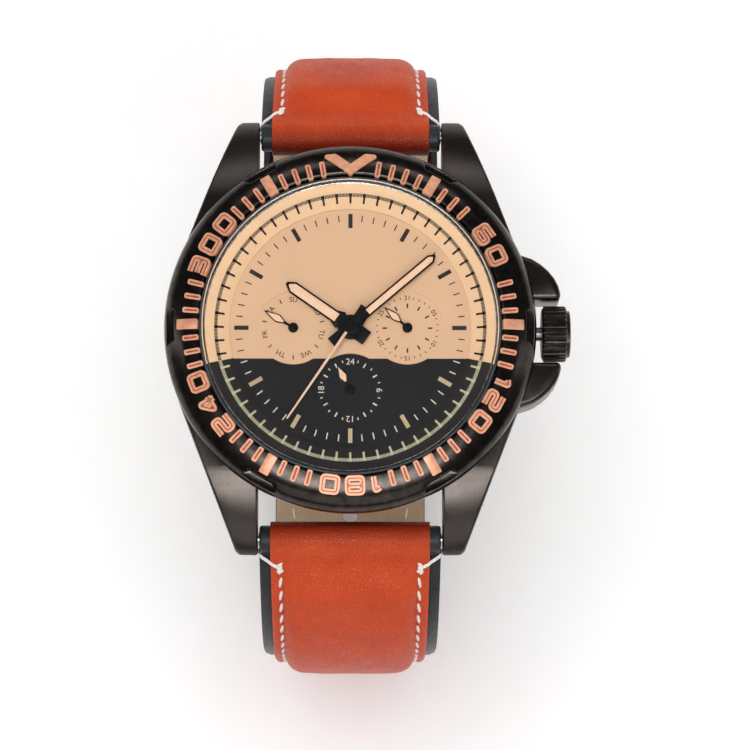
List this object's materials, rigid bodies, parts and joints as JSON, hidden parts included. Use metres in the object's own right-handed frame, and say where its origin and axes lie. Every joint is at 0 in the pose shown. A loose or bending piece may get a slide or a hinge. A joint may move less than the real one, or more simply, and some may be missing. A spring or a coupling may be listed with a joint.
{
  "type": "wristwatch",
  "caption": "Quartz wristwatch with a turning compass bezel, three small dials, a pull-out crown and a padded two-tone leather strap with a pin buckle.",
  "frame": {"origin": "centre of the case back's flat outer face", "axes": "+Z out of the dial, +Y to 12 o'clock, +X to the crown at 3 o'clock"},
  "size_m": [0.0486, 0.0776, 0.0731],
  "materials": {
    "gunmetal": "polished dark gunmetal coating",
    "steel": "plain",
    "brass": "plated",
    "copper": "enamelled winding",
    "glass": "polished",
    "rubber": "matt",
    "dial": "matt printed",
    "chapter": "satin printed",
    "hand_black": "gloss with luminous fill",
    "hand_tan": "satin",
    "plastic": "matt",
    "board": "satin",
    "leather_black": "smooth",
    "leather_rust": "fine grained, padded",
    "leather_tan": "smooth lining"
  },
  "bodies": {
    "case": {"mid_case": "gunmetal", "case_back": "gunmetal", "back_gasket": "rubber", "crystal": "glass", "crystal_gasket": "rubber", "bezel_spring": "steel", "dial": "dial", "chapter_ring": "chapter", "main_plate": "brass", "calendar_plate": "steel", "train_bridge": "steel", "bridge_screw_1": "steel", "bridge_screw_2": "steel", "bridge_screw_3": "steel", "movement_ring": "plastic", "battery": "steel", "battery_clip": "steel", "stator": "steel", "coil": "copper", "circuit_board": "board", "quartz_can": "steel", "crown_tube": "steel", "spring_bar_12": "steel", "spring_bar_6": "steel"},
    "bezel": {"bezel": "gunmetal"},
    "clutch": {"sliding_pinion": "steel"},
    "crown": {"crown": "gunmetal", "crown_gasket": "rubber", "stem": "steel"},
    "setting_lever": {"setting_lever": "steel"},
    "minute_hand": {"cannon_pinion": "brass", "minute_hand": "hand_black"},
    "hour_hand": {"hour_wheel": "brass", "hour_hand": "hand_black"},
    "minute_wheel": {"minute_wheel": "brass"},
    "setting_wheel": {"setting_wheel": "steel"},
    "idler_wheel": {"idler_wheel": "brass"},
    "hand_24h": {"wheel_24h": "brass", "hand_24h": "hand_black"},
    "day_hand": {"day_wheel": "brass", "hand_day": "hand_black"},
    "date_hand": {"date_wheel": "brass", "hand_date": "hand_black"},
    "second_hand": {"second_wheel": "brass", "second_hand": "hand_tan"},
    "third_wheel": {"third_wheel": "brass"},
    "centre_wheel": {"centre_wheel": "brass"},
    "fifth_wheel": {"fifth_wheel": "brass"},
    "rotor": {"rotor": "steel"},
    "strap_12": {"strap_12_base": "leather_black", "strap_12_top": "leather_rust", "strap_12_lining": "leather_tan", "fixed_keeper": "leather_black"},
    "strap_6": {"strap_6_base": "leather_black", "strap_6_top": "leather_rust", "strap_6_lining": "leather_tan"},
    "free_keeper": {"free_keeper": "leather_black"},
    "buckle": {"buckle_frame": "gunmetal", "buckle_bar": "steel"},
    "tongue": {"buckle_tongue": "gunmetal"}
  },
  "joints": [
    {"name": "bezel_turn", "type": "hinge", "parent": "case", "child": "bezel", "pos_m": [0, 0, 0], "axis": [0, 0, 1], "continuous": true},
    {"name": "crown_turn", "type": "hinge", "parent": "case", "child": "clutch", "pos_m": [0, 0, 0.0044], "axis": [1, 0, 0], "continuous": true},
    {"name": "crown_pull", "type": "slide", "parent": "clutch", "child": "crown", "axis": [1, 0, 0], "range_m": [-0.0007, 0]},
    {"name": "setting_lever_swing", "type": "hinge", "parent": "case", "child": "setting_lever", "pos_m": [0.0126, 0.003, 0], "axis": [0, 0, 1], "range_deg": [-14, 0]},
    {"name": "minute_hand_turn", "type": "hinge", "parent": "case", "child": "minute_hand", "pos_m": [0, 0, 0], "axis": [0, 0, 1], "continuous": true},
    {"name": "hour_hand_turn", "type": "hinge", "parent": "case", "child": "hour_hand", "pos_m": [0, 0, 0], "axis": [0, 0, 1], "continuous": true},
    {"name": "minute_wheel_turn", "type": "hinge", "parent": "case", "child": "minute_wheel", "pos_m": [0.0032, 0, 0], "axis": [0, 0, 1], "continuous": true},
    {"name": "setting_wheel_turn", "type": "hinge", "parent": "case", "child": "setting_wheel", "pos_m": [0.0068, 0, 0], "axis": [0, 0, 1], "continuous": true},
    {"name": "idler_wheel_turn", "type": "hinge", "parent": "case", "child": "idler_wheel", "pos_m": [0, -0.00313, 0], "axis": [0, 0, 1], "continuous": true},
    {"name": "hand_24h_turn", "type": "hinge", "parent": "case", "child": "hand_24h", "pos_m": [0, -0.0075, 0], "axis": [0, 0, 1], "continuous": true},
    {"name": "day_hand_turn", "type": "hinge", "parent": "case", "child": "day_hand", "pos_m": [-0.0068, 0, 0], "axis": [0, 0, 1], "continuous": true},
    {"name": "date_hand_turn", "type": "hinge", "parent": "case", "child": "date_hand", "pos_m": [0.0068, 0, 0], "axis": [0, 0, 1], "continuous": true},
    {"name": "second_hand_turn", "type": "hinge", "parent": "case", "child": "second_hand", "pos_m": [0, 0, 0], "axis": [0, 0, 1], "continuous": true},
    {"name": "third_wheel_turn", "type": "hinge", "parent": "case", "child": "third_wheel", "pos_m": [0.00259, -0.00309, 0], "axis": [0, 0, 1], "continuous": true},
    {"name": "centre_wheel_turn", "type": "hinge", "parent": "case", "child": "centre_wheel", "pos_m": [0, 0, 0], "axis": [0, 0, 1], "continuous": true},
    {"name": "fifth_wheel_turn", "type": "hinge", "parent": "case", "child": "fifth_wheel", "pos_m": [0, 0.00396, 0], "axis": [0, 0, 1], "continuous": true},
    {"name": "rotor_turn", "type": "hinge", "parent": "case", "child": "rotor", "pos_m": [-0.00168, 0.00687, 0], "axis": [0, 0, 1], "continuous": true},
    {"name": "strap_12_swing", "type": "hinge", "parent": "case", "child": "strap_12", "pos_m": [0, 0.0246, 0.0024], "axis": [1, 0, 0], "range_deg": [0, 65]},
    {"name": "strap_6_swing", "type": "hinge", "parent": "case", "child": "strap_6", "pos_m": [0, -0.0246, 0.0024], "axis": [-1, 0, 0], "range_deg": [0, 65]},
    {"name": "keeper_slide", "type": "slide", "parent": "strap_12", "child": "free_keeper", "axis": [0, -0.3443, -0.9389], "range_m": [-0.0025, 0.0025]},
    {"name": "buckle_swing", "type": "hinge", "parent": "strap_12", "child": "buckle", "pos_m": [0, 0.015, -0.06], "axis": [1, 0, 0], "range_deg": [-45, 50]},
    {"name": "tongue_swing", "type": "hinge", "parent": "buckle", "child": "tongue", "pos_m": [0, 0.015, -0.06], "axis": [1, 0, 0], "range_deg": [0, 70]}
  ],
  "couplings": [
    {"joint": "setting_lever_swing", "follows": "crown_pull", "rad_per_m": 342.08},
    {"joint": "hour_hand_turn", "follows": "minute_hand_turn", "ratio": 0.083333},
    {"joint": "minute_wheel_turn", "follows": "minute_hand_turn", "ratio": -0.33333},
    {"joint": "setting_wheel_turn", "follows": "minute_hand_turn", "ratio": 0.66667},
    {"joint": "crown_turn", "follows": "minute_hand_turn", "ratio": -0.66667},
    {"joint": "idler_wheel_turn", "follows": "minute_hand_turn", "ratio": -0.055556},
    {"joint": "hand_24h_turn", "follows": "minute_hand_turn", "ratio": 0.041667},
    {"joint": "day_hand_turn", "follows": "minute_hand_turn", "ratio": 0.0059524},
    {"joint": "date_hand_turn", "follows": "minute_hand_turn", "ratio": 0.0013441},
    {"joint": "third_wheel_turn", "follows": "second_hand_turn", "ratio": -0.13333},
    {"joint": "centre_wheel_turn", "follows": "second_hand_turn", "ratio": 0.016667},
    {"joint": "fifth_wheel_turn", "follows": "second_hand_turn", "ratio": -5},
    {"joint": "rotor_turn", "follows": "second_hand_turn", "ratio": 30}
  ]
}
